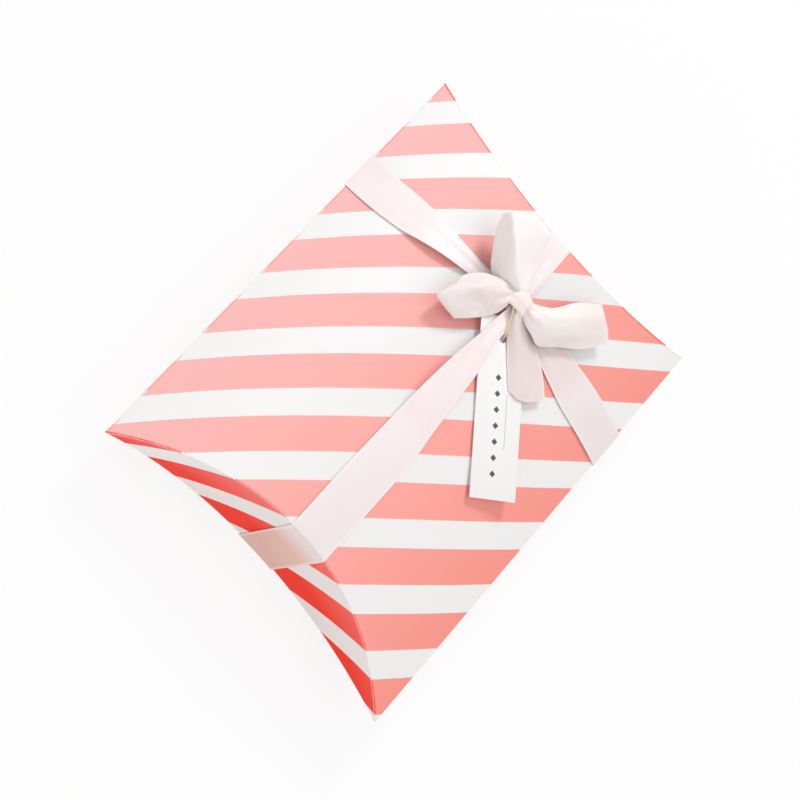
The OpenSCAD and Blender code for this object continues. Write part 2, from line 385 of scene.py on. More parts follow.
def printedCard(name, onWall):
    material, tree, shader = newMaterial(name)
    u, v = firstTwo(flatPlace(tree))
    where = objectPlace(tree)
    # painted shade: across the panel the pink is drawn deeper and the white greyer towards one long side
    shadeAcross = between(v, halfSpan * mm, -halfSpan * mm, soft=False)
    colour = blendColours(stripes(u, v, where), whiteGround(shadeAcross, where),
                          pinkInkAndShade(u, shadeAcross, where, onWall))
    # worn ink and a painted highlight along the creases
    colour = blendColours(creaseWearAndHighlight(u, v, where), colour, cardPrint["wornAndHighlit"])
    fine, coarse, share = cardPrint["tooth"]
    tooth = grain(where, fine, 3)
    base, more = cardPrint["roughness"]
    rough = sums("MULTIPLY_ADD", between(tooth, 0.0, 1.0, soft=False), more, base)
    surface(shader, colour, rough, cardPrint["wallSpecular" if onWall else "specular"])
    height = sums("MULTIPLY_ADD", grain(where, coarse, 3), share, tooth)
    bumped(shader, height, *cardPrint["bump"])
    return material


plainBoard = {
    "tint": (0.91, 0.905, 0.895),
    "fibre": (0.86, 0.85, 0.83),
    "cloud": (0.94, 0.935, 0.93),
    "fibreScale": 1500,
    "cloudScale": 60,
    "cloudShare": 0.3,
    "roughness": 0.8,
    "specular": 0.2,
    "bump": (0.3, 0.00006),
}


def plainCard(name):
    material, tree, shader = newMaterial(name)
    where = objectPlace(tree)
    fibre = grain(where, plainBoard["fibreScale"], 5, 0.75)
    cloud = times(grain(where, plainBoard["cloudScale"], 2), plainBoard["cloudShare"])
    colour = blendColours(fibre, plainBoard["tint"], plainBoard["fibre"])
    colour = blendColours(cloud, colour, plainBoard["cloud"])
    surface(shader, colour, plainBoard["roughness"], plainBoard["specular"])
    bumped(shader, fibre, *plainBoard["bump"])
    return material


# the satin; each cloth has the two colours that its slow clouds run between
satin = {
    "cloths": {
        "band": ((0.975, 0.90, 0.908), (0.965, 0.835, 0.845)),
        # painted shade: the bow's cloth is a darker, warmer copy of the band's, for the shade in its folds
        "bow": ((0.95, 0.89, 0.875), (0.93, 0.815, 0.785)),
        "loop": ((0.99, 0.96, 0.955), (0.975, 0.91, 0.895)),    # the upper loop stands in the light
        "tail": ((0.84, 0.735, 0.72), (0.81, 0.695, 0.68)),     # the tail lies in the bow's shade
        "wall": ((0.82, 0.53, 0.45), (0.77, 0.46, 0.39)),       # painted shade: darker and pinker, as the ribbon on the ends lies in shade and picks up the card's colour
    },
    "clouds": (55, 0.3, 0.7),
    "lower": (0.865, 0.79, 0.80),        # painted shade that the bands darken to towards the near corner
    "lowerWay": (0.4, 0.9),
    "lowerReach": (0.008, -0.034),
    "lowerShare": 0.9,
    "loopShadeColour": (0.84, 0.71, 0.705),        # and the painted shade beneath the bow's right loop
    "loopShadePlace": (0.044, -0.022, 0.036),
    "loopShadeReach": (0.022, 0.010),
    "loopShadeShare": 0.75,
    "wallReach": (0.001, 0.015),
    "edge": (0.95, 0.90, 0.88),
    "edgeReach": (0.0009, 0.0006),       # the selvedge, in from the side
    "edgeShare": 0.5,
    "width": 0.0155,
    "warp": 0.00028,                     # spacing of the threads along and across
    "weft": 0.00036,
    "weave": (0.80, 0.72, 0.69),
    "weaveShare": 0.22,
    "weaveDepth": 0.3,
    "slubScale": 700,
    "slubDepth": 0.5,
    "edgeDepth": 0.9,                    # how proud the selvedge stands
    "roughness": 0.42,
    "specular": 0.35,
    "sheen": 0.25,
    "sheenRoughness": 0.4,
    "bump": (0.35, 0.00006),
}


def cloudy(where, cloth):
    scale, low, high = satin["clouds"]
    return blendColours(between(grain(where, scale, 3), low, high), *satin["cloths"][cloth])


# painted shade on the bands: darker towards the near corner, and darker again beneath the bow's right loop
def paintedBandShade(where, colour):
    x, y = firstTwo(where)
    alongX, alongY = satin["lowerWay"]
    way = sums("MULTIPLY_ADD", x, alongX, times(y, alongY))
    low = times(between(way, *satin["lowerReach"]), satin["lowerShare"])
    colour = blendColours(low, colour, satin["lower"])
    tree = treeOf(where)
    away = put(tree, "ShaderNodeVectorMath", operation="DISTANCE")
    tree.links.new(where, away.inputs[0])
    away.inputs[1].default_value = satin["loopShadePlace"]
    loopShade = between(away.outputs["Value"], *satin["loopShadeReach"])
    return blendColours(times(loopShade, satin["loopShadeShare"]), colour, satin["loopShadeColour"])


def satinRibbon(name, cloth, paintedShade=False, wall=False):
    material, tree, shader = newMaterial(name)
    flat = flatPlace(tree)
    u, v = firstTwo(flat)
    where = objectPlace(tree)
    colour = cloudy(where, cloth)
    if paintedShade:
        colour = paintedBandShade(where, colour)
    # painted shade: the ribbon is drawn darker and pinker down the end walls
    if wall:
        down = between(v, *satin["wallReach"])
        colour = blendColours(down, colour, cloudy(where, "wall"))
    warp = sums("SINE", times(u, 2 * math.pi / satin["warp"]))
    weft = sums("SINE", times(v, 2 * math.pi / satin["weft"]))
    weave = sums("MULTIPLY_ADD", times(warp, weft), satin["weaveDepth"], 0.5)
    slub = grain(flat, satin["slubScale"], 3)
    shade = times(times(weave, slub), satin["weaveShare"])
    colour = blendColours(shade, colour, satin["weave"])
    fromEdge, toEdge = satin["edgeReach"]
    half = satin["width"] / 2
    selvedge = between(gap(u, half), half - fromEdge, half - toEdge)
    colour = blendColours(times(selvedge, satin["edgeShare"]), colour, satin["edge"])
    surface(shader, colour, satin["roughness"], satin["specular"])
    shader.inputs["Sheen Weight"].default_value = satin["sheen"]
    shader.inputs["Sheen Roughness"].default_value = satin["sheenRoughness"]
    threads = sums("MULTIPLY_ADD", slub, satin["slubDepth"], weave)
    bumped(shader, sums("MULTIPLY_ADD", selvedge, satin["edgeDepth"], threads), *satin["bump"])
    return material


faceCard = printedCard("printed_card_face", False)
# the walls' copy of the print carries painted shade
shadedWallCard = printedCard("printed_card_wall", True)
innerCard = plainCard("plain_card_inside")
bandSatin = satinRibbon("ribbon_satin", "band", paintedShade=True)
shadedWallSatin = satinRibbon("ribbon_satin_wall", "band", paintedShade=True, wall=True)
shadedBowSatin = satinRibbon("ribbon_satin_bow", "bow")
litLoopSatin = satinRibbon("ribbon_satin_loop", "loop")
shadedTailSatin = satinRibbon("ribbon_satin_tail", "tail")
print("materials made")


def finish(piece, body, materials, replaced=()):
    piece.data.materials.clear()
    for material in materials:
        piece.data.materials.append(material)
    if body:
        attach(piece, body)
    if replaced:
        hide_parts(*replaced)


# the folded card

sleeve = {
    "columns": 90,
    "arcRows": 120,
    "seamInset": 0.12,      # how far inside the long fold the back panel's glued edge lies
    "backInset": 0.55,      # how far inside the front's creases the back panel's ends lie
    "dentFade": 9,          # how far in from the creases the board's unevenness is at its full
    "waves": (0.022, 0.028),    # how quickly it turns along the box and round it
    "seed": 3.1,
}


def arcSamples():
    # places across the box, evenly spaced on the flat card; every panel's crease uses them
    return [arcRadius * math.sin(mix(-halfSpan, halfSpan, a) / arcRadius) for a in spread(sleeve["arcRows"])]


def sleevePath():
    # from the back panel's glued edge, under the box, round the fold and over the front
    samples = arcSamples()
    path = []
    for y in reversed(samples):
        y = min(y, box["width"] / 2 - sleeve["seamInset"])
        path.append((y, -arcHeight(y), -2 * halfSpan - arcRadius * math.asin(y / arcRadius), -1))
    for y in samples[1:]:
        path.append((y, arcHeight(y), arcRadius * math.asin(min(1, y / arcRadius)), 1))
    return path


def buildSleeve():
    rows, flat = [], []
    for y, z, s, side in sleevePath():
        reach = endReach(y) - (sleeve["backInset"] if side < 0 else 0.0)
        edge = ease((box["width"] / 2 - abs(y)) / sleeve["dentFade"])
        normal = Vector((0, y / arcRadius, side * math.sqrt(1 - (y / arcRadius) ** 2)))
        row, flatRow = [], []
        for a in spread(sleeve["columns"]):
            x = mix(-reach, reach, a)
            ends = ease((reach - abs(x)) / sleeve["dentFade"])
            wave = wavesAt(x, s, sleeve["waves"], sleeve["seed"])
            dent = -box["softness"] * (0.5 + 0.5 * wave) * edge * ends
            row.append(Vector((x, y, z + box["foldHeight"])) + normal * dent)
            flatRow.append((x, s))
        rows.append(row)
        flat.append(flatRow)
    piece = sheetFromRows("card_sleeve", rows, flat)
    faceOutwards(piece, Vector((0, 0, box["foldHeight"] * mm)))
    applyModifier(piece, "SOLIDIFY", thickness=box["card"] * mm, offset=-1, material_offset=1,
                  material_offset_rim=1, use_even_offset=True)
    smoothShade(piece, 30)
    finish(piece, "box", (faceCard, innerCard), ("front_panel", "back_panel"))


# bakes a flap's placement, or that of what lies on it, into its mesh
def bendFrom(piece):
    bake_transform(piece)


outerFlap = {
    "rows": 34,
    "bend": 7.5,
    "tip": 0.02,            # half its height at the pointed ends
    "dent": 0.08,
    "dentFade": 5,
    "waves": (0.03, 0.05),
    "seed": 5.0,
}


def bendOuter(piece):
    bendFrom(piece)


def buildOuterFlap(name, side, node):
    rows, flat = [], []
    for t in spread(outerFlap["rows"]):
        row, flatRow = [], []
        for y in arcSamples():
            s = arcRadius * math.asin(max(-1, min(1, y / arcRadius)))
            high = max(arcHeight(y), outerFlap["tip"])
            z = mix(high, -high, t)
            wave = wavesAt(s, z, outerFlap["waves"], side * outerFlap["seed"])
            dent = outerFlap["dent"] * (0.5 + 0.5 * wave) * ease((high - abs(z)) / outerFlap["dentFade"])
            row.append(Vector((side * (endReach(y) + dent), y, z + box["foldHeight"])))
            flatRow.append((side * (box["length"] / 2 - z), s))
        rows.append(row)
        flat.append(flatRow)
    piece = sheetFromRows(name, rows, flat)
    faceTowards(piece, (side, 0, 0))
    applyModifier(piece, "SOLIDIFY", thickness=box["card"] * mm, offset=-1, material_offset=1,
                  material_offset_rim=1)
    smoothShade(piece, 30)
    finish(piece, None, (shadedWallCard, innerCard), (node,))
    bendOuter(piece)


innerFlap = {
    "columns": 70,
    "rows": 16,
    "bend": 5.0,
    "span": 0.88,           # share of the box's width
    "tuck": 0.7,            # behind the outer flap
    "set": 0.75,
    "foot": 0.3,            # over the back panel's crease
    "clear": 0.25,          # under the front panel, all the way round its swing
    "hingeX": 68.85,
    "hingeZ": -16.8,
}


def innerEdge(y):
    # the free edge just clears the front panel as the flap swings
    reach = arcHeight(y, -box["card"]) - innerFlap["clear"] - innerFlap["hingeZ"]
    out = endReach(y, innerFlap["tuck"]) - innerFlap["hingeX"]
    return innerFlap["hingeZ"] + math.sqrt(reach * reach - out * out)


def buildInnerFlap(name, side, node):
    rows, flat = [], []
    span = innerFlap["span"] * box["width"] / 2
    for t in spread(innerFlap["rows"]):
        row, flatRow = [], []
        for a in spread(innerFlap["columns"]):
            y = mix(-span, span, a)
            z = mix(-arcHeight(y) + innerFlap["foot"], innerEdge(y), t)
            row.append(Vector((side * (endReach(y) - innerFlap["set"]), y, z + box["foldHeight"])))
            flatRow.append((side * (box["length"] / 2 + z), y))
        rows.append(row)
        flat.append(flatRow)
    piece = sheetFromRows(name, rows, flat)
    faceTowards(piece, (side, 0, 0))
    applyModifier(piece, "SOLIDIFY", thickness=box["card"] * mm, offset=-1)
    smoothShade(piece, 30)
    finish(piece, None, (innerCard,), (node,))
    bendFrom(piece)


buildSleeve()
for end, side in (("near", -1), ("far", 1)):
    buildOuterFlap(end + "_outer_flap_card", side, end + "_outer_flap")
for end, side in (("near", -1), ("far", 1)):
    buildInnerFlap(end + "_inner_flap_card", side, end + "_inner_flap")
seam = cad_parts["seam_flap"]
seam.data.materials.clear()
seam.data.materials.append(innerCard)
print("card folded")


# the ribbon, as it is tied round the box

ribbon = {
    "width": 15.5,
    "thickness": 0.26,
    "gap": 0.35,              # middle of the ribbon over what it lies on
    "bandY": -3.7,
    "crossX": 40.5,
    "gathered": 6.0,
    "knotX": 41.0,
    "knotY": -1.0,
    "knotLength": 7.0,
    "knotWidth": 9.5,
    "knotHeight": 6.5,
    "underKnot": 0.2,
    "rootLift": 1.75,
    "across": 20,
}
knotFoot = arcHeight(ribbon["knotY"]) + box["foldHeight"] + ribbon["underKnot"]
knotMiddle = Vector((ribbon["knotX"], ribbon["knotY"], knotFoot + ribbon["knotHeight"] / 2))

tag = {
    "length": 59.5,
    "width": 18.0,
    "thickness": 0.4,
    "holeInset": 7.0,
    "holeRadius": 1.6,
    "angle": 41.2,
    "lift": 0.5,
    "holeX": 28.3,
    "holeY": -6.0,
    "touchY": -18.0,          # where the flat tag touches the curved panel
    "bevel": 0.06,
}
tagSlope = -math.asin(tag["touchY"] / arcRadius)


def arcSag(run):
    return arcRadius - math.sqrt(arcRadius * arcRadius - run * run)


def tagTopLift(y):
    return tag["lift"] + tag["thickness"] + arcSag(y - tag["touchY"])


def onTag(x, y, height):
    touch = overPanel(x, tag["touchY"], tag["lift"] + tag["thickness"] / 2 + height)
    run = (y - tag["touchY"]) / math.cos(tagSlope)
    return touch + Vector((0, run * math.cos(tagSlope), run * math.sin(tagSlope)))


def pleat(a, pull, count, depth):
    return depth * pull * (1 - math.cos(2 * math.pi * count * a)) / 2


def ribbonSheet(name, rows, body, replaced, up=(0, 0, 1), cloth=bandSatin):
    across = len(rows[0])
    middle = [row[across // 2] for row in rows]
    run, flat = 0.0, []
    for i, row in enumerate(rows):
        if i:
            run += (middle[i] - middle[i - 1]).length
        flat.append([(a * ribbon["width"], run) for a in spread(across - 1)])
    piece = sheetFromRows(name, rows, flat)
    faceTowards(piece, up)
    applyModifier(piece, "SOLIDIFY", thickness=ribbon["thickness"] * mm, offset=0)
    smoothShade(piece, 50)
    finish(piece, body, (cloth,), replaced)
    return piece


ribbonBend = {"reach": 1.6, "out": 0.2, "drop": 0.6}    # how the ribbon turns over a crease


def bendShare(distance):
    near = max(0.0, 1 - distance / ribbonBend["reach"])
    return near * near


def tableAt(table, x):
    # a smooth reading of the table's columns at x
    i = 0
    while i < len(table) - 2 and x > table[i + 1][0]:
        i += 1
    start, end = table[i], table[i + 1]
    before, after = table[max(i - 1, 0)], table[min(i + 2, len(table) - 1)]
    step = end[0] - start[0]
    f = clamp((x - start[0]) / step)
    values = []
    for k in range(1, len(start)):
        leave = (end[k] - before[k]) / (end[0] - before[0]) * step
        arrive = (after[k] - start[k]) / (after[0] - start[0]) * step
        values.append((2 * f ** 3 - 3 * f ** 2 + 1) * start[k] + (f ** 3 - 2 * f ** 2 + f) * leave
                      + (3 * f ** 2 - 2 * f ** 3) * end[k] + (f ** 3 - f ** 2) * arrive)
    return values


nearBand = {
    "rows": 110,
    "startRows": [0.0, 0.0015, 0.003, 0.005, 0.007],    # closer rows over the crease
    "climbStart": -34.5,      # where the ribbon starts to rise over the tag
    "climbEnd": 6.7,
    "tucked": 0.8,            # how far it runs on beneath the knot
    "pleats": (1.5, 0.8, 0.8),      # count, depth and how much of the gathering shows
    "ripple": 0.18,
    "ripples": (9, 2.3),      # how many along and across
    "rippleSeed": 1.7,
    "wave": 0.16,
    "waves": (5, 1.6),
    "waveSeed": 4.2,
    "waveStart": 0.05,        # share of its length over which the waves set in
    "edges": [                # x, lower edge and upper edge
        (-87.5, -11.45, 4.05), (-55, -11.45, 4.05), (-36, -11.3, 3.7), (-23.5, -10.1, 3.5),
        (-9.5, -8.8, 3.25), (3, -7.8, 2.65), (14.5, -6.7, 1.6), (20, -5.7, 1.0),
        (26, -5.05, 0.7), (31, -5.3, 0.3), (35, -4.4, -0.1), (38.5, -3.2, 0.0),
    ],
}


def buildNearBand():
    rows = []
    startX = -box["length"] / 2
    finishX = ribbon["knotX"] - ribbon["knotLength"] / 2 + nearBand["tucked"]
    count, depth, share = nearBand["pleats"]
    for t in nearBand["startRows"] + spread(nearBand["rows"])[1:]:
        along = mix(startX, finishX, t)
        low, high = tableAt(nearBand["edges"], along)
        gather = 1 - (high - low) / ribbon["width"]
        climb = ease((along - nearBand["climbStart"]) / (nearBand["climbEnd"] - nearBand["climbStart"]))
        row = []
        for a in spread(ribbon["across"]):
            y = mix(low, high, a)
            x = mix(-endReach(y), finishX, t)
            bend = bendShare(x + endReach(y))
            lift = mix(ribbon["gap"], tagTopLift(y) + ribbon["gap"], climb)
            lift = lift * (1 - ribbonBend["drop"] * bend) + pleat(a, gather * share, count, depth)
            ripple = wavesAt(t, a, nearBand["ripples"], nearBand["rippleSeed"])
            lift += nearBand["ripple"] * gather * ripple
            wave = wavesAt(t, a, nearBand["waves"], nearBand["waveSeed"])
            lift += nearBand["wave"] * (wave + 0.5) * ease(t / nearBand["waveStart"])
            row.append(overPanel(x - ribbonBend["out"] * bend, y, lift))
        rows.append(row)
    ribbonSheet("near_band_ribbon", rows, "box", ("near_band",))


farBand = {"rows": 50, "tucked": 0.4, "meet": 1.0, "widthShare": 0.62, "pleats": (2, 0.9)}


def buildFarBand():
    rows = []
    start = ribbon["knotX"] + ribbon["knotLength"] / 2 - farBand["tucked"]
    for t in spread(farBand["rows"]):
        half = mix(ribbon["gathered"], farBand["widthShare"] * ribbon["width"], ease(t)) / 2
        row = []
        for a in spread(ribbon["across"]):
            y = mix(ribbon["knotY"], farBand["meet"], ease(t)) + (2 * a - 1) * half
            x = mix(start, endReach(y), t)
            bend = bendShare(endReach(y) - x)
            lift = mix(ribbon["rootLift"], ribbon["gap"], ease(t)) * (1 - ribbonBend["drop"] * bend)
            lift += pleat(a, 1 - ease(t), *farBand["pleats"])
            row.append(overPanel(x + ribbonBend["out"] * bend, y, lift))
        rows.append(row)
    ribbonSheet("far_band_ribbon", rows, "box", ("far_band",))


endBand = {
    "rows": 40,
    "startRows": [0.0, 0.01, 0.025, 0.04],
    "under": 0.5,
    "pressed": (0.9, 0.1, 0.1),    # where down the wall it draws closer, over what share, how much
    "slant": 2.5,             # how far it runs aside down the near wall
    "widens": 1.6,            # how soon the far one has its full width
}


def buildEndBand(name, side, node):
    rows = []
    foot, share, closer = endBand["pressed"]
    for t in endBand["startRows"] + spread(endBand["rows"])[2:]:
        row = []
        for a in spread(ribbon["across"]):
            y = ribbon["bandY"] + (2 * a - 1) * ribbon["width"] / 2
            if side > 0:    # the far stretch leaves the crease narrower, where it runs to the knot
                top = farBand["meet"] + (2 * a - 1) * farBand["widthShare"] * ribbon["width"] / 2
                y = mix(top, y, ease(t * endBand["widens"]))
            else:
                y += endBand["slant"] * t
            high = arcHeight(y) + ribbon["gap"] * (1 - ribbonBend["drop"])
            z = mix(high, -arcHeight(y) - endBand["under"], t)
            off = mix(ribbon["gap"], ribbonBend["out"], bendShare(high - z))
            off -= closer * ease((t - foot) / share)
            row.append(Vector((side * (endReach(y) + off), y, z + box["foldHeight"])))
        rows.append(row)
    piece = ribbonSheet(name, rows, None, (node,), up=(side, 0, 0), cloth=shadedWallSatin)
    # its placement is baked in, as the card's under it is
    bendOuter(piece)


backBand = {"rows": 90, "pressed": 0.5, "lift": 0.85, "over": 0.22, "endShare": 0.08}


def buildBackBand():
    rows = []
    for t in spread(backBand["rows"]):
        lift = mix(backBand["pressed"], backBand["lift"], ease(min(t, 1 - t) / backBand["endShare"]))
        row = []
        for a in spread(ribbon["across"]):
            y = ribbon["bandY"] + endBand["slant"] * (1 - t) + (2 * a - 1) * ribbon["width"] / 2
            reach = endReach(y) + backBand["over"]
            p = underPanel(mix(-reach, reach, t), y, lift)
            p.z = max(p.z, ribbon["thickness"] / 2)
            row.append(p)
        rows.append(row)
    ribbonSheet("back_band_ribbon", rows, "box", ("back_band",), up=(0, 0, -1))


crossBand = {
    "frontRows": 60, "backRows": 80, "foldRows": 8,
    "archHeight": 2.0,        # how far the left edge stands off the card near the bow
    "archFrom": 0.16,
    "archTo": 0.66,
    "archShape": (2.4, 1.2),
    "rootReach": 0.3,
    "tucked": 0.6,
    "pleats": (2, 0.7),
    "pleatedAt": 5,           # how narrow it is where the pleats are at their full
    "flatAt": 15,             # and how wide where there are none
    "wave": 0.14,
    "waves": (5, 1.7),
    "waveSeed": 3.3,
    "still": 0.1,             # share of its length at both ends where it has no waves
    "upperEdges": [           # y, left edge and right edge
        (3.1, 38.4, 43.6), (8.6, 37.4, 41.9), (14.3, 35.9, 41.9), (21, 34.3, 42.6), (30, 32.6, 43.7),
        (34, 32.0, 44.3), (40, 31.2, 45.0), (47.8, 30.9, 45.5), (53, 31.1, 45.9), (58, 31.8, 46.9),
        (62.5, 32.7, 48.2),
    ],
    "lowerSteps": (1, 0.85, 0.7, 0.55, 0.4, 0.28, 0.16, 0.08, 0),    # from the fold to the knot
    "widens": 1.6,            # how soon the lower stretch has its full width
    "swing": 1.6,             # how far aside it swings between the knot and the fold
    "slack": 0.5,             # how much further its left edge hangs out there
    "slackSpan": (0.2, 0.6),
}


def crossStart(side):
    return ribbon["knotY"] + side * (ribbon["knotWidth"] / 2 - crossBand["tucked"])


def lowerEdge(t):
    y = mix(crossStart(-1), -box["width"] / 2, t)
    half = mix(ribbon["gathered"], ribbon["width"], min(1, crossBand["widens"] * t)) / 2
    middle = mix(ribbon["knotX"], ribbon["crossX"], t) - crossBand["swing"] * math.sin(math.pi * t)
    low, high = crossBand["slackSpan"]
    slack = crossBand["slack"] if low < t < high else 0
    return round(y, 1), round(middle - half - slack, 1), round(middle + half, 1)


lowerEdges = [lowerEdge(t) for t in crossBand["lowerSteps"]]


def crossRow(side, t):
    y = mix(crossStart(side), side * box["width"] / 2, t)
    left, right = tableAt(crossBand["upperEdges"] if side > 0 else lowerEdges, y)
    pleated, flat = crossBand["pleatedAt"], crossBand["flatAt"]
    wide = clamp((right - left - pleated) / (flat - pleated))
    root = 1 - ease(t / crossBand["rootReach"])
    along = (t - crossBand["archFrom"]) / (crossBand["archTo"] - crossBand["archFrom"])
    arch = math.sin(math.pi * clamp(along))
    acrossPower, alongPower = crossBand["archShape"]
    loose = crossBand["wave"] * ease(t / crossBand["still"]) * ease((1 - t) / crossBand["still"])
    row = []
    for a in spread(ribbon["across"]):
        lift = mix(ribbon["gap"], ribbon["rootLift"], root) + pleat(a, 1 - wide, *crossBand["pleats"])
        if side > 0:
            lift += crossBand["archHeight"] * (1 - a) ** acrossPower * arch ** alongPower
        lift += loose * (wavesAt(t, a, crossBand["waves"], side * crossBand["waveSeed"]) + 0.5)
        row.append(overPanel(mix(left, right, a), y, lift))
    return row


def crossAcross():
    return [ribbon["crossX"] + (2 * a - 1) * ribbon["width"] / 2 for a in spread(ribbon["across"])]


def foldRows(side, down):
    # round the long fold, from over the front panel to under the back one
    slope = math.asin(box["width"] / 2 / arcRadius)
    turns = spread(crossBand["foldRows"])[1:-1]
    rows = []
    for t in turns if down else reversed(turns):
        tilt = mix(slope, math.pi - slope, t)
        y = side * (box["width"] / 2 + ribbon["gap"] * math.sin(tilt))
        z = box["foldHeight"] + ribbon["gap"] * math.cos(tilt)
        rows.append([Vector((x, y, z)) for x in crossAcross()])
    return rows


def buildCrossBand():
    upper = [crossRow(1, t) for t in spread(crossBand["frontRows"])]
    lower = [crossRow(-1, t) for t in spread(crossBand["frontRows"])]
    back = []
    for t in spread(crossBand["backRows"]):
        y = mix(box["width"] / 2, -box["width"] / 2, t)
        back.append([underPanel(x, y, ribbon["gap"]) for x in crossAcross()])
    rows = upper + foldRows(1, True) + back + foldRows(-1, False) + list(reversed(lower))
    ribbonSheet("cross_band_ribbon", rows, "box", ("upper_cross_band", "back_cross_band", "lower_cross_band"))


buildNearBand()
buildFarBand()
buildEndBand("near_end_ribbon", -1, "near_end_band")
buildEndBand("far_end_ribbon", 1, "far_end_band")
buildBackBand()
buildCrossBand()
print("ribbon wrapped")


# the photo's camera, matched to the box's corners, creases and stripes; places in millimetres
shot = {
    "pixels": 800,            # the picture's width and height
    "sensor": 36,
    "lens": 118.92581,
    "place": (-391.0789, 170.2232, 759.8053),
    "right": (0.5990162, -0.6544894, 0.4613276),
    "back": (-0.4528397, 0.1982607, 0.8692691),
    "clipEnd": 20,
}


def shotAxes():
    right = Vector(shot["right"]).normalized()
    back = Vector(shot["back"]).normalized()
    above = back.cross(right).normalized()
    return above.cross(back).normalized(), above, back


def seenAt(px, py, height):
    # the place at this height over the table that the photo shows at this pixel
    right, above, back = shotAxes()
    middle = shot["pixels"] / 2
    pixel = shot["sensor"] / shot["lens"] / shot["pixels"]
    ray = right * (px - middle) * pixel + above * (middle - py) * pixel - back
    place = Vector(shot["place"])
    return place + ray * ((height - place.z) / ray.z)


def picked(px, py, height):
    # a picked point is good to a tenth of a millimetre at best
    spot = seenAt(px, py, height)
    return Vector((round(spot.x, 1), round(spot.y, 1), height))


def pickedOnTag(px, py, height):
    # the tag slopes, so the height follows the place; a few rounds settle it
    hole = onTag(tag["holeX"], tag["holeY"], 0)
    z = hole.z
    for _ in range(tail["rounds"]):
        spot = seenAt(px, py, z)
        z = hole.z + math.tan(tagSlope) * (spot.y - hole.y) + height
    return onTag(round(spot.x, 1), round(spot.y, 1), height)


# the bow

# each row of four points crosses the ribbon, edge to edge; the rows run out over the loop and back under it
# a point is its pixel in the photo, across and down, and its height over the table, which is a guess
upperLoop = {
    "rows": 96, "waves": 0.35, "crisp": 0.65, "seed": 2.0,
    "stations": [
        [(512, 289, 40.0), (516, 291, 40.4), (520, 294, 40.4), (523, 297, 40.0)],
        [(504, 283, 40.4), (516, 286, 43.2), (520, 289, 42.4), (525, 291, 41.2)],
        [(494, 275, 39.8), (515, 278, 45.2), (521, 281, 43.4), (529, 282, 41.2)],
        [(491, 265, 39.8), (515, 265, 47.2), (525, 266, 44.4), (535, 267, 41.6)],
        [(493, 247, 41.0), (515, 246, 49.2), (531, 248, 46.0), (544, 250, 42.8)],
        [(496, 231, 42.6), (514, 229, 50.2), (534, 232, 47.2), (550, 240, 43.8)],
        [(501, 219, 44.0), (513, 216, 50.0), (535, 221, 47.6), (551, 236, 44.2)],
        [(503, 214, 43.4), (513, 211.5, 48.2), (537, 217, 45.6), (552, 235, 43.0)],
        [(503, 218, 42.0), (513, 217, 45.0), (534, 221, 43.2), (549, 236, 41.2)],
        [(499, 231, 41.0), (514, 231, 44.0), (533, 233, 42.6), (547, 241, 40.6)],
        [(496, 247, 39.6), (515, 247, 42.6), (530, 248, 41.4), (541, 251, 40.0)],
        [(497, 266, 38.8), (515, 266, 41.4), (524, 267, 40.6), (531, 268, 39.6)],
        [(512, 288, 40.0), (517, 289, 40.4), (520, 291, 40.4), (523, 294, 40.0)],
    ],
}
leftLoop = {
    "rows": 84, "waves": 0.4, "crisp": 0.35, "seed": 5.0,
    "stations": [
        [(510, 287, 40.2), (511, 290, 40.4), (512, 294, 40.4), (514, 299, 40.0)],
        [(503, 280, 41.4), (505, 287, 43.4), (504, 298, 42.6), (504, 308, 40.2)],
        [(491, 275, 41.6), (495, 284, 45.0), (492, 299, 43.2), (495, 313.5, 39.4)],
        [(480, 273, 41.4), (481, 286, 46.2), (477, 300, 43.0), (482, 316.5, 39.2)],
        [(464, 275, 41.2), (462, 288, 44.6), (459, 303, 42.4), (468, 318, 39.4)],
        [(455, 283, 41.0), (447, 290, 43.0), (448, 305, 41.6), (457, 318, 39.2)],
        [(450, 287, 39.8), (437, 294, 41.2), (444, 306, 40.0), (455, 318.5, 38.4)],
        [(455, 284, 38.8), (447, 291, 39.2), (449, 305, 38.6), (457, 318, 37.6)],
        [(467, 277, 38.8), (463, 287, 39.4), (462, 303, 38.9), (468, 316, 37.8)],
        [(484, 275, 39.0), (483, 286, 40.0), (482, 299, 39.4), (484, 310, 38.0)],
        [(508, 288, 40.0), (509, 291, 40.2), (510, 295, 40.2), (511, 299, 39.8)],
    ],
}
rightLoop = {
    "rows": 84, "waves": 0.4, "crisp": 0.35, "seed": 8.0,
    "stations": [
        [(529, 300, 40.0), (527, 303, 40.2), (525, 306, 40.2), (522, 309, 39.8)],
        [(533, 304, 40.8), (531, 309, 42.6), (528, 315, 42.4), (524, 322, 40.6)],
        [(541, 307, 40.8), (541, 313, 43.6), (537, 323, 43.0), (530.5, 334, 40.4)],
        [(556, 308, 40.6), (556, 318, 43.8), (550, 333, 42.0), (538, 346, 38.8)],
        [(576, 303, 39.8), (577, 317, 41.8), (572, 335, 39.8), (558, 347, 37.0)],
        [(595, 304, 38.6), (598, 318, 40.0), (595, 335, 37.8), (584, 349, 35.6)],
        [(602, 305, 37.4), (605, 318, 38.2), (608, 332, 36.4), (608, 342, 34.8)],
        [(595, 306, 36.0), (598, 319, 35.8), (597, 334, 34.9), (588, 348, 34.2)],
        [(577, 306, 37.2), (578, 318, 37.2), (575, 333, 35.9), (563, 346, 34.9)],
        [(557, 309, 38.6), (557, 319, 38.6), (552, 331, 37.8), (542, 344, 36.8)],
        [(530, 303, 40.0), (528, 306, 40.2), (526, 309, 40.0), (524, 312, 39.6)],
    ],
}


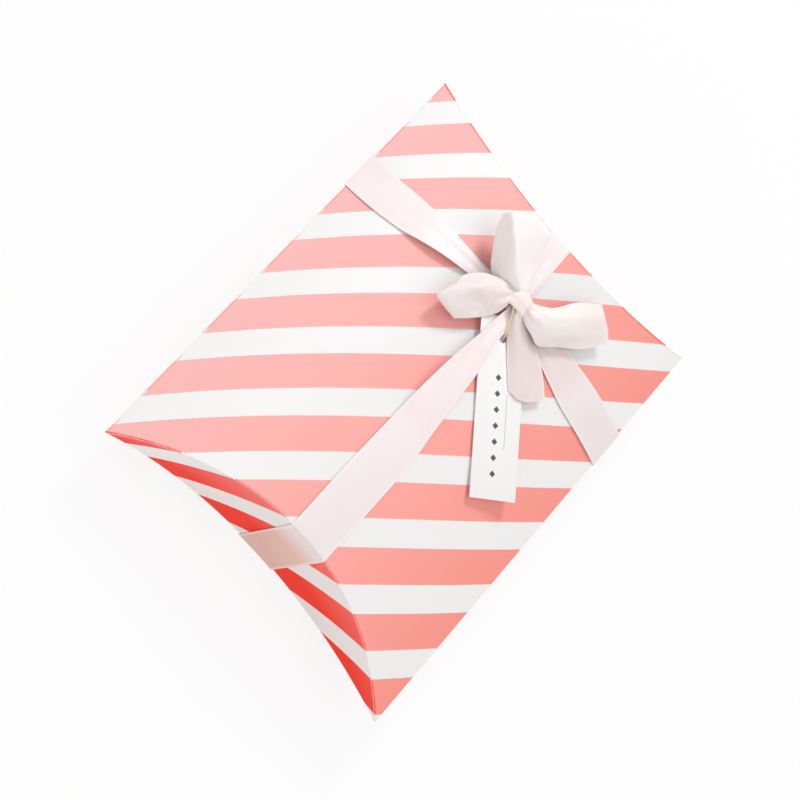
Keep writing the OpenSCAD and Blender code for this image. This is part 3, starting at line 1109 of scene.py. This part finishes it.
def through(points, t):
    # a smooth line through the points, t running from 0 to 1
    last = len(points) - 1
    x = clamp(t) * last
    i = min(int(x), last - 1)
    f = x - i
    p0, p1, p2, p3 = points[max(i - 1, 0)], points[i], points[i + 1], points[min(i + 2, last)]
    return 0.5 * (2 * p1 + (p2 - p0) * f + (2 * p0 - 5 * p1 + 4 * p2 - p3) * f * f
                  + (3 * p1 - p0 - 3 * p2 + p3) * f * f * f)


def straight(points, t):
    x = clamp(t) * (len(points) - 1)
    i = min(int(x), len(points) - 2)
    return points[i].lerp(points[i + 1], x - i)


def acrossRibbon(points, a, crisp, lift):
    return through(points, a).lerp(straight(points, a), crisp) + Vector((0, 0, lift))


loopFolds = {
    "columns": 26,
    "reach": 0.36,            # how far from the knot the gathers run before they die away
    "count": 3,
    "depth": 0.95,
    "lean": (3, 0.12),        # how often and how far the gathers wander aside
    "wave": (7, 2.4),         # waves along and across the loop
    "crease": (15, 4.6),      # crumples along and across it
    "creaseSeed": 9,          # added to the loop's own
    "crumple": 0.7,
}


def buildLoop(name, loop, node, cloth):
    columns = [[picked(*row[k]) for row in loop["stations"]] for k in range(4)]
    often, far = loopFolds["lean"]
    rows = []
    for t in spread(loop["rows"]):
        across = [through(column, t) for column in columns]
        leaf = math.cos(math.pi * t)
        root = 1 - ease(min(t, 1 - t) / loopFolds["reach"])
        lean = far * wavesAt(t, 0.5, (often, 1), loop["seed"])
        row = []
        for a in spread(loopFolds["columns"]):
            wave = loop["waves"] * wavesAt(t, a, loopFolds["wave"], loop["seed"])
            crumple = wavesAt(t, a, loopFolds["crease"], loop["seed"] + loopFolds["creaseSeed"])
            lift = pleat(a + lean, root, loopFolds["count"], loopFolds["depth"])
            lift += (wave + loopFolds["crumple"] * abs(crumple)) * (1 - root)
            row.append(acrossRibbon(across, a, loop["crisp"], leaf * lift))
        rows.append(row)
    ribbonSheet(name, rows, "box", (node,), cloth=cloth)


knotWrap = {
    "around": 72,
    "steps": 20,
    "halfX": 3.7,
    "halfY": 5.88,
    "halfZ": 3.234,
    "shift": (-0.9, 0.0, 0.0),
    "mouth": 0.68,            # radius at both ends, as a share of the middle's
    "bulge": 0.6,
    "turnedIn": [(0.72, 0.38), (0.88, 0.56)],    # place along and radius where the ends turn in
    "ridges": 2,
    "ridgeDepth": 0.035,      # as a share of the radius
    "ridgeTwist": (0.7, 0.8),
    "lean": 0.2,
    "flatRadius": 4,          # the middle radius, which the weave is laid out at
    "length": 26,
}


def knotRadius(x, phi):
    twist, start = knotWrap["ridgeTwist"]
    ridge = math.cos(math.pi * knotWrap["ridges"] * (x + 1) + twist * math.sin(phi + start)) * (1 - x ** 4)
    return mix(knotWrap["mouth"], 1.0, (1 - x * x) ** knotWrap["bulge"]) + knotWrap["ridgeDepth"] * ridge


def knotProfile(phi):
    # places along the knot with their radius; both ends are turned in
    ends = knotWrap["turnedIn"]
    body = [mix(-1, 1, a) for a in spread(knotWrap["steps"])]
    return [(-x, r) for x, r in ends] + [(x, knotRadius(x, phi)) for x in body] + ends[::-1]


def buildKnot():
    rows, flat = [], []
    centre = knotMiddle + Vector(knotWrap["shift"])
    for turn in spread(knotWrap["around"]):
        phi = 2 * math.pi * turn
        profile = knotProfile(phi)
        row = []
        for x, r in profile:
            lean = knotWrap["lean"] * math.sin(phi) * (1 - x * x)
            row.append(centre + Vector((knotWrap["halfX"] * x + lean, knotWrap["halfY"] * r * math.cos(phi),
                                        knotWrap["halfZ"] * r * math.sin(phi))))
        rows.append(row)
        flat.append([(a * ribbon["width"], phi * knotWrap["flatRadius"]) for a in spread(len(profile) - 1)])
    piece = sheetFromRows("knot_wrap", rows, flat)
    faceOutwards(piece, centre * mm)
    editWhole(piece, bpy.ops.mesh.remove_doubles, threshold=0.000001)
    applyModifier(piece, "SOLIDIFY", thickness=ribbon["thickness"] * mm, offset=-1)
    smoothShade(piece, 60)
    finish(piece, "box", (shadedBowSatin,), ("knot",))


tail = {
    "rows": 60,
    "columns": 24,
    "crisp": 0.6,
    "rounds": 20,
    "pleats": (2, 0.5),
    "pleatReach": 0.55,
    "wave": (5, 2.2),
    "waveHeight": 0.2,
    "seed": 6.4,
    "stations": [             # pixel across and down, and height over the tag's middle plane, to the cut end
        [(513, 309, 2.3), (516.5, 310, 3.0), (520, 312, 2.8), (523.5, 315, 2.2)],
        [(508, 326, 1.3), (515, 328, 2.7), (523, 330, 2.4), (530, 331, 1.7)],
        [(506.5, 343, 0.65), (515, 345, 2.1), (525, 347, 1.9), (535.5, 348, 1.2)],
        [(506.5, 360, 0.45), (516, 363, 1.6), (529, 366, 1.4), (540.5, 367, 0.9)],
        [(507, 376, 0.42), (516, 381, 1.2), (530, 384, 1.1), (543, 383, 0.8)],
        [(507.5, 389.5, 0.42), (516, 398.5, 0.8), (529, 402.5, 0.8), (544, 399, 0.9)],
    ],
}


def buildTail():
    columns = [[pickedOnTag(*row[k]) for row in tail["stations"]] for k in range(4)]
    rows = []
    for t in spread(tail["rows"]):
        across = [through(column, t) for column in columns]
        root = 1 - ease(t / tail["pleatReach"])
        row = []
        for a in spread(tail["columns"]):
            wave = tail["waveHeight"] * (wavesAt(t, a, tail["wave"], tail["seed"]) + 0.5)
            lift = pleat(a, root, *tail["pleats"]) + wave * t * math.sin(math.pi * a)
            row.append(acrossRibbon(across, a, tail["crisp"] * t, lift))
        rows.append(row)
    ribbonSheet("tail_ribbon", rows, "box", ("tail",), cloth=shadedTailSatin)


buildKnot()
buildLoop("upper_loop_ribbon", upperLoop, "upper_loop", litLoopSatin)
buildLoop("left_loop_ribbon", leftLoop, "left_loop", shadedBowSatin)
buildLoop("right_loop_ribbon", rightLoop, "right_loop", shadedBowSatin)
buildTail()
print("bow tied")


# the tag and its thread

# places in metres along the tag from its hole, and across it
tagPrint = {
    "paper": (0.93, 0.93, 0.93),
    "fibre": (0.88, 0.88, 0.88),
    "fibreScale": 1300,
    "ink": (0.035, 0.035, 0.04),
    "inkShare": 0.93,
    "step": 0.0052,           # from one diamond to the next
    "row": -0.0008,
    "diamond": (0.00105, 0.00125),      # half width, inside and outside its soft edge
    "rowSpan": (0.0103, 0.0468, 0.0001),    # both ends, and how soft they are
    "grey": (0.25, 0.25, 0.26),
    "greyShare": 0.6,
    "rule": 0.0031,
    "ruleWidth": (0.00008, 0.00018),    # half, inside and outside its soft edge
    "ruleSpan": (0.0180, 0.0360, 0.0002),
    "roughness": 0.62,
    "specular": 0.3,
    "bump": (0.25, 0.00005),
}


def tagCard():
    material, tree, shader = newMaterial("tag_card_print")
    u, v = firstTwo(flatPlace(tree))
    fibre = grain(objectPlace(tree), tagPrint["fibreScale"], 4, 0.7)
    colour = blendColours(times(fibre, 0.5), tagPrint["paper"], tagPrint["fibre"])
    # a row of small diamonds down the middle and a thin rule beside it
    step = tagPrint["step"]
    along = times(gap(sums("FRACT", times(u, 1 / step)), 0.5), step)
    away = sums("ADD", along, gap(v, tagPrint["row"]))
    diamonds = times(rest(between(away, *tagPrint["diamond"])),
                     within(u, *tagPrint["rowSpan"]))
    rule = times(rest(between(gap(v, tagPrint["rule"]), *tagPrint["ruleWidth"])),
                 within(u, *tagPrint["ruleSpan"]))
    colour = blendColours(times(rule, tagPrint["greyShare"]), colour, tagPrint["grey"])
    colour = blendColours(times(diamonds, tagPrint["inkShare"]), colour, tagPrint["ink"])
    surface(shader, colour, tagPrint["roughness"], tagPrint["specular"])
    bumped(shader, fibre, *tagPrint["bump"])
    return material


def buildTag():
    clearSelection()
    bpy.ops.mesh.primitive_cube_add(size=1, location=(0, 0, 0))
    piece = bpy.context.object
    piece.name = piece.data.name = "swing_tag"
    bpy.ops.transform.resize(value=(tag["length"] * mm, tag["width"] * mm, tag["thickness"] * mm))
    bpy.ops.transform.translate(value=((tag["length"] / 2 - tag["holeInset"]) * mm, 0, 0))
    bpy.ops.object.transform_apply(location=True, rotation=True, scale=True)
    clearSelection()
    bpy.ops.mesh.primitive_cylinder_add(vertices=64, radius=tag["holeRadius"] * mm,
                                        depth=10 * tag["thickness"] * mm)
    punch = bpy.context.object
    applyModifier(piece, "BOOLEAN", object=punch, operation="DIFFERENCE", solver="EXACT")
    bpy.data.objects.remove(punch)
    applyModifier(piece, "BEVEL", width=tag["bevel"] * mm, segments=2, limit_method="ANGLE")
    layer = piece.data.uv_layers.active or piece.data.uv_layers.new()
    layer.name = "flat"
    for loop in piece.data.loops:
        co = piece.data.vertices[loop.vertex_index].co
        layer.data[loop.index].uv = (co.x, co.y)
    smoothShade(piece, 30)
    hole = onTag(tag["holeX"], tag["holeY"], 0) * mm
    turn = Matrix.Rotation(math.radians(180 + tag["angle"]), 4, "Z")
    piece.data.transform(Matrix.Translation(hole) @ Matrix.Rotation(tagSlope, 4, "X") @ turn)
    finish(piece, "tag", (tagCard(),), ("tag",))


thread = {
    "azimuth": 34.0,
    "radius": 0.19,
    "offset": 0.15,           # of each ply from the thread's middle
    "turnsPerMm": 0.85,
    "steps": 10,
    "route": [                # distance from the hole and height over the tag, from the knot through the hole
        (10.4, 3.2), (9.2, 3.2), (7.2, 2.8), (4.6, 2.3), (2.2, 1.7), (0.9, 1.1), (0.2, 0.5), (0, 0),
        (0.3, -0.5), (1.2, -0.7), (4, -0.75), (7.2, -0.75), (8.4, -0.6), (9.2, -0.4),
    ],
    "dark": (0.72, 0.55, 0.27),
    "pale": (0.90, 0.80, 0.55),
    "fuzzScale": 4000,
    "roughness": 0.5,
    "sheen": 0.2,
    "bump": (0.4, 0.00005),
}


def threadMaterial():
    material, tree, shader = newMaterial("thread_twist")
    fuzz = grain(objectPlace(tree), thread["fuzzScale"], 3)
    tree.links.new(blendColours(fuzz, thread["dark"], thread["pale"]), shader.inputs["Base Color"])
    shader.inputs["Roughness"].default_value = thread["roughness"]
    shader.inputs["Sheen Weight"].default_value = thread["sheen"]
    bumped(shader, fuzz, *thread["bump"])
    return material


def threadPly(line, aside, start):
    curve = bpy.data.curves.new("thread_ply", "CURVE")
    curve.dimensions = "3D"
    curve.bevel_depth = thread["radius"] * mm
    curve.bevel_resolution = 3
    spline = curve.splines.new("POLY")
    spline.points.add(len(line) - 1)
    run = 0.0
    for i, p in enumerate(line):
        before, after = line[max(i - 1, 0)], line[min(i + 1, len(line) - 1)]
        run += (p - before).length
        up = (after - before).normalized().cross(aside).normalized()
        a = start + 2 * math.pi * run * thread["turnsPerMm"]
        q = p + (aside * math.cos(a) + up * math.sin(a)) * thread["offset"]
        spline.points[i].co = (q.x * mm, q.y * mm, q.z * mm, 1)
    strand = bpy.data.objects.new("thread_ply", curve)
    bpy.context.collection.objects.link(strand)
    return strand


def buildThread():
    azimuth = math.radians(thread["azimuth"])
    heading = Vector((math.cos(azimuth), math.sin(azimuth), 0))
    aside = Vector((-heading.y, heading.x, 0))
    path = [onTag(tag["holeX"] + heading.x * a, tag["holeY"] + heading.y * a, b) for a, b in thread["route"]]
    line = [through(path, t) for t in spread((len(path) - 1) * thread["steps"])]
    plies = [threadPly(line, aside, start) for start in (0, math.pi)]
    clearSelection()
    for strand in plies:
        strand.select_set(True)
    bpy.context.view_layer.objects.active = plies[0]
    bpy.ops.object.convert(target="MESH")
    bpy.ops.object.join()
    piece = bpy.context.object
    piece.name = piece.data.name = "tag_thread_twist"
    pick(piece)
    bpy.ops.object.shade_smooth()
    finish(piece, "box", (threadMaterial(),), ("tag_thread",))


buildTag()
buildThread()
print("tag hung")


# floor, light and camera

floorLook = {
    "size": 6,
    "height": -0.0002,
    "colour": (0.92, 0.92, 0.92, 1),
    "roughness": 0.9,
    "specular": 0.1,
    "glow": 0.85,             # how white it looks where the camera sees it
}

light = {
    "key": {"place": (1.1, 0.4, 1.1), "size": 0.38, "power": 10.6, "colour": (0.975, 0.99, 0.99)},
    "overhead": {"place": (0.1, -0.55, 1.4), "size": 1.3, "power": 5.2, "colour": (0.98, 0.99, 1.0)},
    "fill": {"place": (-1.2, 0.1, 0.25), "size": 0.8, "power": 3.4, "colour": (1.0, 0.87, 0.81)},
    "aim": (0, 0, 0.02),
    "sky": 0.54,
    "skyColour": (0.99, 0.96, 0.948, 1),
}


def seenRays(tree):
    # 1 for rays from the camera, and for those that reach it off shiny things or through clear ones
    path = put(tree, "ShaderNodeLightPath")
    seen = sums("MAXIMUM", path.outputs["Is Camera Ray"], path.outputs["Is Glossy Ray"])
    return sums("MAXIMUM", seen, path.outputs["Is Transmission Ray"])


def mixShaders(tree, share, first, second, target):
    join = put(tree, "ShaderNodeMixShader")
    tree.links.new(share, join.inputs[0])
    tree.links.new(first.outputs[0], join.inputs[1])
    tree.links.new(second.outputs[0], join.inputs[2])
    tree.links.new(join.outputs[0], target)


def buildFloor():
    clearSelection()
    bpy.ops.mesh.primitive_plane_add(size=floorLook["size"], location=(0, 0, floorLook["height"]))
    floor = bpy.context.object
    floor.name = "floor"
    material, tree, shader = newMaterial("floor_white")
    shader.inputs["Base Color"].default_value = floorLook["colour"]
    shader.inputs["Roughness"].default_value = floorLook["roughness"]
    shader.inputs["Specular IOR Level"].default_value = floorLook["specular"]
    output = next(n for n in tree.nodes if n.type == "OUTPUT_MATERIAL")
    share = times(seenRays(tree), floorLook["glow"])
    mixShaders(tree, share, shader, put(tree, "ShaderNodeEmission"), output.inputs["Surface"])
    floor.data.materials.append(material)


def buildLamp(name):
    settings = light[name]
    lamp = bpy.data.lights.new(name + "_light", "AREA")
    lamp.size = settings["size"]
    lamp.energy = settings["power"]
    lamp.color = settings["colour"]
    holder = bpy.data.objects.new(name + "_light", lamp)
    bpy.context.collection.objects.link(holder)
    holder.location = settings["place"]
    holder.rotation_euler = (Vector(light["aim"]) - holder.location).to_track_quat("-Z", "Y").to_euler()


def buildWorld():
    world = bpy.data.worlds.new("studio")
    bpy.context.scene.world = world
    world.use_nodes = True
    tree = world.node_tree
    tree.nodes.clear()
    output = tree.nodes.new("ShaderNodeOutputWorld")
    soft = put(tree, "ShaderNodeBackground")
    soft.inputs["Color"].default_value = light["skyColour"]
    soft.inputs["Strength"].default_value = light["sky"]
    white = put(tree, "ShaderNodeBackground")
    white.inputs["Color"].default_value = (1, 1, 1, 1)
    mixShaders(tree, seenRays(tree), soft, white, output.inputs["Surface"])


def buildCamera():
    data = bpy.data.cameras.new("camera")
    data.lens = shot["lens"]
    data.sensor_width = shot["sensor"]
    data.clip_end = shot["clipEnd"]
    camera = bpy.data.objects.new("camera", data)
    bpy.context.collection.objects.link(camera)
    turn = Matrix(shotAxes()).transposed().to_4x4()
    camera.matrix_world = Matrix.Translation(Vector(shot["place"]) * mm) @ turn
    bpy.context.scene.camera = camera


buildFloor()
for name in ("key", "overhead", "fill"):
    buildLamp(name)
buildWorld()
buildCamera()
bpy.context.scene.view_settings.view_transform = "Standard"
print("stage set")
